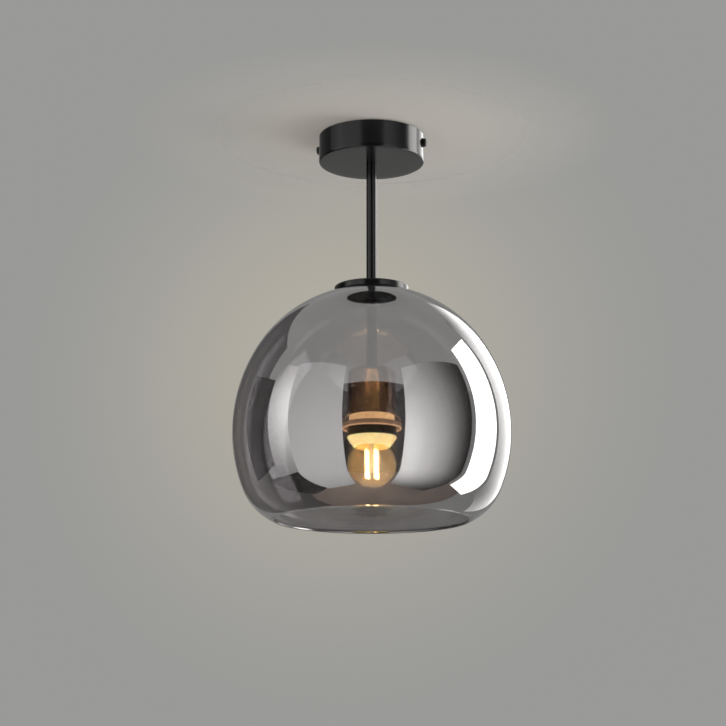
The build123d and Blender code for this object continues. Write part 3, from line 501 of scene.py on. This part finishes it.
# ---- Earth point ----
# Brass ring tag under a plated screw on the bracket, with its tongue for the wire.
smoothed("earth_tag", "earth_lug", "fixture", brass)
smoothed("earth_fixing_screw", "earth_screw", "fixture", zinc)


# ---- Inner wires ----
# Stranded copper in coloured insulation, live, neutral and earth, slightly glossy and
# printed with nothing. Two of them run down inside the stem.
def insulation(name, dark, light):
    return finish(name, dark, light, moulded, scale=0.8, rough=-0.08, bump=0.1, depth=0.00005)


brown_pvc = insulation("brown_insulation", (0.085, 0.035, 0.016), (0.115, 0.050, 0.024))
blue_pvc = insulation("blue_insulation", (0.018, 0.070, 0.26), (0.030, 0.095, 0.33))
striped_pvc = insulation("striped_insulation", (0.05, 0.26, 0.06), (0.07, 0.32, 0.08))
tree = striped_pvc.node_tree
place = node(tree, "ShaderNodeTexCoord").outputs["Object"]
bands = node(tree, "ShaderNodeTexWave", {"Vector": place, "Scale": 95.0}, wave_type="BANDS", bands_direction="Y")
stripe = node(tree, "ShaderNodeMapRange", {"Value": bands.outputs["Fac"], "From Min": 0.48, "From Max": 0.52})
skin = tree.nodes["Principled BSDF"]
green = skin.inputs["Base Color"].links[0].from_socket
striped = node(tree, "ShaderNodeMix", {0: stripe.outputs[0], 6: green, 7: (0.70, 0.55, 0.04, 1)}, data_type="RGBA")
tree.links.new(striped.outputs[2], skin.inputs["Base Color"])
smoothed("live_wire", "wire_live", "fixture", brown_pvc)
smoothed("neutral_wire", "wire_neutral", "fixture", blue_pvc)
smoothed("earth_wire", "wire_earth", "fixture", striped_pvc)


# ---- Stem ----
# Two lengths of 10 mm steel tube, coated like the canopy, screwed together through the
# shade on hollow nipples. Their ends are cut square and just eased.
stem_radius, stem_bore = 0.005, 0.00405
ease = 0.0002


def tube(name, outer, inner, high, low):
    """A tube between two levels with eased ends."""
    return turned(name, [
        (inner, high), (outer - ease, high), (outer, high - ease), (outer, (high + low) / 2), (outer, low + ease),
        (outer - ease, low), (inner, low),
    ], 64)


for name, source in (("upper_stem", "stem"), ("lower_stem_tube", "lower_stem")):
    low_corner, high_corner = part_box(source)
    piece = tube(name, stem_radius, stem_bore, high_corner[2], low_corner[2])
    settle(piece, (source,), "fixture", black_coat)
for name, source in (("canopy_stud", "canopy_nipple"), ("cup_stud", "holder_nipple"),
                     ("canopy_lock_ring", "canopy_lock_washer"), ("canopy_hex_nut", "canopy_nut"),
                     ("cup_hex_nut", "holder_nut")):
    smoothed(name, source, "fixture", zinc)
smoothed("shade_stud", "shade_nipple", "fixture", blackened)


# ---- Shade cap ----
# Pressed steel cap that hides the top gasket; black like the stem, its lip turned down to
# just clear the glass.
low_corner, high_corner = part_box("shade_cap")
cap_radius, cap_wall, cap_round = 0.035, 0.0012, 0.00096
cap_high, cap_low = high_corner[2], low_corner[2]
cap = turned("pressed_cap", [
    (nipple_hole, cap_high - cap_wall), (nipple_hole, cap_high), (0.012, cap_high), (0.026, cap_high),
    *arc((cap_radius - cap_round, cap_high - cap_round), cap_round, 0, 90, 6),
    (cap_radius, (cap_high + cap_low) / 2), (cap_radius, cap_low + 0.0003), (cap_radius - 0.0003, cap_low),
    (cap_radius - cap_wall + 0.0002, cap_low), (cap_radius - cap_wall, cap_low + 0.0002),
    (cap_radius - cap_wall, cap_high - cap_wall),
], 144)
settle(cap, ("shade_cap",), "fixture", black_coat)


# ---- Gaskets ----
# Black rubber pads, one each side of the glass, so that the steel never touches it.
rubber = finish("black_rubber", (0.010, 0.010, 0.010), (0.022, 0.021, 0.021), moulded, rough=0.22, bump=0.3,
                depth=0.0001)
for name, source in (("upper_pad", "upper_gasket"), ("lower_pad", "lower_gasket")):
    low_corner, high_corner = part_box(source)
    settle(tube(name, high_corner[0], nipple_hole, high_corner[2], low_corner[2]), (source,), "fixture",
           rubber)


# ---- Glass shade ----
# Mouth-blown smoke glass, 2.6 mm thick, with a half mirror fired on: it reflects the room
# outside and lets about a quarter of the light through. The rim is fire polished.
glass_wall = 0.0026
glass_seat = 0.020
glass_hole = 0.0055
glass_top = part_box("glass_shade")[1][2]
glass_curves = ((0.1219, 8.0, 59.3, 22), (0.1478, 59.3, 111.2, 26), (0.0523, 111.2, 157.0, 16))


def glass_line(inset):
    """Rings down the glass, inset from its outer face."""
    tilt = radians(glass_curves[0][1])
    radius, level = glass_seat - inset * sin(tilt), glass_top - inset * cos(tilt)
    rings = [(radius, level)]
    for curve, start, end, steps in glass_curves:
        reach = curve - inset
        middle = (radius - reach * sin(radians(start)), level - reach * cos(radians(start)))
        rings += arc(middle, reach, start, end, steps)[1:]
        radius, level = rings[-1]
    return rings


outer_line, inner_line = glass_line(0), glass_line(glass_wall)
rim_out, rim_in = outer_line[-1], inner_line[-1]
rim_middle = ((rim_out[0] + rim_in[0]) / 2, (rim_out[1] + rim_in[1]) / 2)
rim_turn = glass_curves[-1][2]
rim = arc(rim_middle, glass_wall / 2, rim_turn, rim_turn + 180, 10)[1:-1]
flat = glass_top - glass_wall * cos(radians(glass_curves[0][1]))
shade = turned("smoke_glass_shade", [
    (glass_hole, flat), (glass_hole, glass_top), ((glass_hole + glass_seat) / 2, glass_top),
    *outer_line, *rim, *reversed(inner_line),
], 192, angle=50)


def glass_surface(group, given):
    """Blown glass: slow waves in its face, a streaked tint and a little dust."""
    place = scaled_place(group, given)
    wave = node(group, "ShaderNodeTexNoise", {"Vector": place, "Scale": 14.0, "Detail": 1.0}).outputs["Fac"]
    streak = scaled_place(group, given, (1, 1, 0.25))
    tint = node(group, "ShaderNodeTexNoise", {"Vector": streak, "Scale": 22.0, "Detail": 3.0}).outputs["Fac"]
    speck = node(group, "ShaderNodeTexNoise", {"Vector": place, "Scale": 700.0, "Detail": 2.0}).outputs["Fac"]
    smear = node(group, "ShaderNodeMath", {0: speck, 1: tint}, operation="MULTIPLY").outputs[0]
    smear = node(group, "ShaderNodeMath", {0: smear, 1: 2.0}, operation="MULTIPLY").outputs[0]
    return (spread(group, tint, 0.0, 1.0, given.outputs["Amount"]),
            spread(group, smear, 0.0, 0.03, given.outputs["Amount"]), wave)


blown = surface_group("blown_glass", glass_surface)
smoke_glass = finish("smoke_mirror_glass", (0.36, 0.35, 0.37), (0.44, 0.43, 0.44), blown, bump=0.04, depth=0.0006,
                     IOR=3.4, Transmission_Weight=1.0)
settle(shade, ("glass_shade",), "fixture", smoke_glass)
shade.visible_shadow = False


# ---- Shade clamp ----
# Black disc, spring washer and nut under the glass that press it up against the cap. The nut
# and the washer are blackened, and rubbed bright where the spanner held them.
low_corner, high_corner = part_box("retaining_washer")
disc_radius, disc_round = high_corner[0], 0.0006
disc_high, disc_low = high_corner[2], low_corner[2]
disc = turned("clamp_disc", [
    (nipple_hole, disc_low), (nipple_hole, disc_high), (0.014, disc_high),
    *arc((disc_radius - disc_round, disc_high - disc_round), disc_round, 0, 90, 5),
    *arc((disc_radius - disc_round, disc_low + disc_round), disc_round, 90, 180, 5), (0.014, disc_low),
], 128)
settle(disc, ("retaining_washer",), "fixture", black_coat)
rubbed = finish("rubbed_steel", (0.10, 0.10, 0.105), (0.42, 0.41, 0.40), plated, metallic=1.0, rough=-0.10,
                bump=0.2, depth=0.00004)
smoothed("clamp_spring_ring", "spring_washer", "fixture", rubbed)
smoothed("clamp_hex_nut", "clamp_nut", "fixture", rubbed)


# ---- Lamp holder cup ----
# Turned cup with a rounded shoulder, six fine ribs and a smooth band, black nickel plated over
# its tool marks, so that the lamp shows in it as an upright streak.
low_corner, high_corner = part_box("holder_cup")
cup_high, cup_low = high_corner[2], low_corner[2]
cup_radius, cup_wall, cup_shoulder = 0.02225, 0.0012, 0.006
rib_count, rib_pitch, rib_depth, cup_band = 6, 0.0025, 0.0005, 0.004
rib_ease = 0.00015


def lathed_surface(group, given):
    """Plating over turned metal: fine tool rings, soft smears and a slow drift of tone."""
    place = scaled_place(group, given)
    rings = node(group, "ShaderNodeTexWave", {"Vector": place, "Scale": 520.0, "Distortion": 0.6},
                 wave_type="BANDS", bands_direction="Z").outputs["Fac"]
    drift = node(group, "ShaderNodeTexNoise", {"Vector": place, "Scale": 90.0, "Detail": 4.0}).outputs["Fac"]
    return (spread(group, drift, 0.0, 1.0, given.outputs["Amount"]),
            spread(group, drift, 0.10, 0.20, given.outputs["Amount"]), rings)


lathed = surface_group("lathed_surface", lathed_surface)
black_nickel = finish("black_nickel", (0.28, 0.22, 0.19), (0.38, 0.30, 0.26), lathed, metallic=1.0,
                     rough=0.04, bump=0.1, depth=0.00004, Anisotropic=0.95, Anisotropic_Rotation=0.25)
rings = [(nipple_hole, cup_high - cup_wall), (nipple_hole, cup_high), (0.010, cup_high)]
rings += arc((cup_radius - cup_shoulder, cup_high - cup_shoulder), cup_shoulder, 0, 90, 12)
for rib in reversed(range(rib_count)):
    top = cup_low + cup_band + rib_pitch / 2 + rib * rib_pitch
    bottom = top - rib_pitch / 2
    rings += [(cup_radius, top + rib_ease), (cup_radius - rib_ease, top), (cup_radius - rib_depth, top),
              (cup_radius - rib_depth, bottom), (cup_radius - rib_ease, bottom), (cup_radius, bottom - rib_ease)]
rings += [(cup_radius, cup_low + ease), (cup_radius - ease, cup_low), (cup_radius - cup_wall, cup_low)]
rings += [(cup_radius - cup_wall, cup_high - cup_shoulder)]
rings += arc((cup_radius - cup_shoulder, cup_high - cup_shoulder), cup_shoulder - cup_wall, 90, 0, 8)[1:]
cup = turned("ribbed_cup", rings, 128)
settle(cup, ("holder_cup",), "fixture", black_nickel)
smoothed("cup_bridge", "holder_bridge", "fixture", zinc)
smoothed("cup_bridge_screws", "bridge_screws", "fixture", zinc)


# ---- Holder collar ----
# Neck that screws into the cup, with the flange below it, in the same black nickel. Its lower edge is worn
# to the brass; a faint painted glow on that edge and the flange's wall stands for the lamp's light.
low_corner, high_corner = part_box("holder_collar")
neck, neck_bore, thread = 0.0201, 0.0192, 0.0210
thread_depth, thread_lead, thread_pitch, thread_count = 0.0005, 0.0006, 0.0015, 5
flange, flange_wall = 0.0274, 0.0012
collar_high, collar_low = high_corner[2], low_corner[2]
flange_high = collar_low + 0.0053
flange_round = 0.0007
rings = [(neck_bore, collar_high), (thread - thread_depth, collar_high)]
for turn in range(thread_count):
    crest = collar_high - thread_lead - turn * thread_pitch
    rings += [(thread, crest), (thread, crest - 0.0004), (thread - thread_depth, crest - 0.00075),
              (thread - thread_depth, crest - 0.0010)]
rings += [(thread, cup_low), (neck, cup_low), (neck, flange_high + 0.0003), (neck + 0.0003, flange_high)]
rings += arc((flange - flange_round, flange_high - flange_round), flange_round, 0, 90, 5)
rings += [(flange, collar_low + ease), (flange - ease, collar_low), (flange - flange_wall + ease, collar_low),
          (flange - flange_wall, collar_low + ease), (flange - flange_wall, flange_high - flange_wall),
          (neck_bore, flange_high - flange_wall)]
collar = turned("flanged_collar", rings, 128)
glowing_edged_nickel = black_nickel.copy()
glowing_edged_nickel.name = "edged_nickel_with_painted_glow"
tree = glowing_edged_nickel.node_tree
skin = tree.nodes["Principled BSDF"]
edge_top, edge_fade = collar_low + 0.0010, 0.0004
# the lowest millimetre is worn to brass and also carries the painted glow for the lamp's light
bare_and_glowing_edge = level_mask(tree, edge_top, edge_top + edge_fade, 1.0, 0.0)
# painted glow: the flange's wall glows faintly for the lamp's light on it
near = level_mask(tree, flange_high - edge_fade, flange_high, 0.30, 0.0)
worn = node(tree, "ShaderNodeMix", {0: bare_and_glowing_edge, 6: skin.inputs["Base Color"].links[0].from_socket,
                                    7: (0.86, 0.56, 0.30, 1)}, data_type="RGBA")
tree.links.new(worn.outputs[2], skin.inputs["Base Color"])
# painted glow mask, warm emission on the edge and the flange's wall
painted_glow_mask = node(tree, "ShaderNodeMath", {0: bare_and_glowing_edge, 1: near}, operation="MAXIMUM").outputs[0]
glow = node(tree, "ShaderNodeMix", {0: painted_glow_mask, 6: (0, 0, 0, 1), 7: (1.0, 0.60, 0.34, 1)}, data_type="RGBA")
tree.links.new(glow.outputs[2], skin.inputs["Emission Color"])
skin.inputs["Emission Strength"].default_value = 1.7
settle(collar, ("holder_collar",), "fixture", glowing_edged_nickel)


# ---- Brass ring ----
# Thin polished ring on the collar's neck. A faint glow stands for the lamp's light on it.
low_corner, high_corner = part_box("brass_ring")
ring_inner, ring_outer, ring_bevel = 0.02015, 0.02085, 0.00028
ring_high, ring_low = high_corner[2], low_corner[2]
warm_brass = finish("warm_brass", (0.78, 0.48, 0.20), (0.92, 0.62, 0.30), plated, scale=0.6, metallic=1.0,
                    rough=0.02, bump=0.15, depth=0.00003, Emission_Strength=1.9)
skin = warm_brass.node_tree.nodes["Principled BSDF"]
skin.inputs["Emission Color"].default_value = (1.0, 0.62, 0.30, 1)
band = turned("neck_ring", [
    (ring_inner, ring_high), (ring_outer - ring_bevel, ring_high), (ring_outer, ring_high - ring_bevel),
    (ring_outer, ring_low + ring_bevel), (ring_outer - ring_bevel, ring_low), (ring_inner, ring_low),
], 128)
settle(band, ("brass_ring",), "fixture", warm_brass)


# ---- Spacer ring ----
# Black bakelite ring that fills the flange round the porcelain.
bakelite = finish("black_bakelite", (0.012, 0.010, 0.009), (0.030, 0.024, 0.020), moulded, rough=-0.14, bump=0.06,
                  depth=0.00005)
low_corner, high_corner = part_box("spacer_ring")
settle(tube("bakelite_ring", 0.0227, 0.0192, high_corner[2], low_corner[2]), ("spacer_ring",), "fixture",
       bakelite)


# ---- Porcelain core and contacts ----
# Glazed cream porcelain that tapers into the cone round the lamp, with a painted warm glow on the
# cone for the lamp's light on it; inside it a rolled screw shell, a spring contact and two terminals.
def glazed_surface(group, given):
    """Glaze: pooled waves, fine pin marks and a creamy drift."""
    place = scaled_place(group, given)
    wave = node(group, "ShaderNodeTexNoise", {"Vector": place, "Scale": 150.0, "Detail": 2.0}).outputs["Fac"]
    pits = node(group, "ShaderNodeTexVoronoi", {"Vector": place, "Scale": 420.0}).outputs["Distance"]
    pits = node(group, "ShaderNodeMapRange", {"Value": pits, "From Max": 0.16}).outputs[0]
    height = node(group, "ShaderNodeMath", {0: wave, 1: pits}, operation="MULTIPLY").outputs[0]
    return (spread(group, wave, 0.0, 1.0, given.outputs["Amount"]),
            spread(group, wave, 0.16, 0.30, given.outputs["Amount"]), height)


glazed = surface_group("glazed_surface", glazed_surface)
porcelain = finish("cream_porcelain", (0.84, 0.70, 0.34), (0.97, 0.92, 0.66), glazed, scale=2.4, bump=0.5,
                   depth=0.0003, Subsurface_Weight=0.15, Subsurface_Scale=0.003, Emission_Strength=3.0)
tree = porcelain.node_tree
# painted glow: the cone's lowest 8 mm glows warm for the lamp's light on it, fading out above
glow_top, glow_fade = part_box("socket_core")[0][2] + 0.008, 0.002
lit = level_mask(tree, glow_top, glow_top + glow_fade, 1.0, 0.0)
tone = toned(porcelain, (0.95, 0.62, 0.20), (1.0, 0.84, 0.42))
painted_glow_colour = node(tree, "ShaderNodeMix", {0: lit, 6: (0, 0, 0, 1), 7: tone}, data_type="RGBA")
tree.links.new(painted_glow_colour.outputs[2], tree.nodes["Principled BSDF"].inputs["Emission Color"])
spring_brass = finish("spring_brass", (0.55, 0.36, 0.15), (0.72, 0.50, 0.24), plated, metallic=1.0, bump=0.15,
                      depth=0.00003)
smoothed("porcelain_core", "socket_core", "fixture", porcelain, 25)
smoothed("rolled_shell", "screw_shell", "fixture", spring_brass, 50)
smoothed("spring_contact", "contact_spring", "fixture", spring_brass)
smoothed("core_terminals", "holder_terminals", "fixture", brass)
smoothed("core_clamp_screws", "holder_terminal_screws", "fixture", zinc)


# ---- Lamp base ----
# E27 screw base of nickel plated brass, crimped to the globe, with a black glass insulator
# and a solder-topped foot contact.
vitrite = finish("black_vitrite", (0.010, 0.009, 0.012), (0.020, 0.018, 0.022), glazed, rough=-0.10, bump=0.1,
                 depth=0.0001)
smoothed("lamp_screw_base", "lamp_base", "lamp", nickel, 50)
smoothed("lamp_black_glass", "lamp_insulator", "lamp", vitrite)
smoothed("lamp_contact", "lamp_foot", "lamp_travel", nickel)


# ---- Lamp globe ----
# Thin clear glass with a light golden tint, blown to a 45 mm ball and sealed into the base.
globe_radius, globe_wall, globe_neck, globe_blend = 0.0224, 0.0008, 0.0125, 0.008
pole = 2e-6
low_corner, high_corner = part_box("lamp_globe")
globe_level = low_corner[2] + globe_radius
neck_level = high_corner[2]


def envelope_line(inset):
    """Rings of the envelope from its open top to its tip, inset from the outside."""
    ball, blend, neck = globe_radius - inset, globe_blend + inset, globe_neck - inset
    rise = sqrt((ball + blend) ** 2 - (neck + blend) ** 2)
    lean = degrees(atan2(neck + blend, rise))
    line = [(neck, neck_level), (neck, (neck_level + globe_level + rise) / 2)]
    line += arc((neck + blend, globe_level + rise), blend, -90, lean - 180, 8)
    line += arc((0, globe_level), ball, lean, 176, 40)[1:]
    return line + [(pole, globe_level - ball)]


golden = finish("golden_glass", (0.93, 0.74, 0.48), (0.96, 0.80, 0.57), blown, scale=2.0, rough=0.10, bump=0.1,
                depth=0.0005, IOR=1.5, Transmission_Weight=0.995)
globe = turned("golden_globe", envelope_line(0) + envelope_line(globe_wall)[::-1], 96, angle=60)
settle(globe, ("lamp_globe",), "lamp", golden)
globe.visible_shadow = False


# ---- Filaments and mount ----
# Four upright phosphor strips, lit warm white, between bent nickel leads on a milky glass
# stem. The strips are swollen a little, for the glare that makes them look thicker.
strip_swell = 0.0005
phosphor = finish("lit_phosphor", (0.95, 0.72, 0.36), (1.0, 0.80, 0.46), moulded, scale=3.0, rough=0.2, bump=0.3,
                  depth=0.0001, Emission_Strength=4000.0)
phosphor.node_tree.links.new(toned(phosphor, (1.0, 0.76, 0.44), (1.0, 0.83, 0.54)),
                             phosphor.node_tree.nodes["Principled BSDF"].inputs["Emission Color"])
fine_wire = finish("fine_wire", (0.42, 0.38, 0.33), (0.60, 0.55, 0.48), plated, scale=3.0, metallic=1.0)
inner_glass = finish("inner_glass", (0.92, 0.88, 0.80), (0.96, 0.93, 0.87), blown, scale=3.0, rough=0.3, IOR=1.5,
                     Transmission_Weight=0.4)
strips = smoothed("phosphor_strips", "lamp_filaments", "lamp", phosphor)
bpy.context.view_layer.objects.active = strips
bpy.ops.object.mode_set(mode="EDIT")
bpy.ops.mesh.select_all(action="SELECT")
bpy.ops.transform.shrink_fatten(value=strip_swell)
bpy.ops.object.mode_set(mode="OBJECT")
smoothed("bent_leads", "lamp_leads", "lamp", fine_wire)
smoothed("glass_mount", "lamp_mount", "lamp", inner_glass)
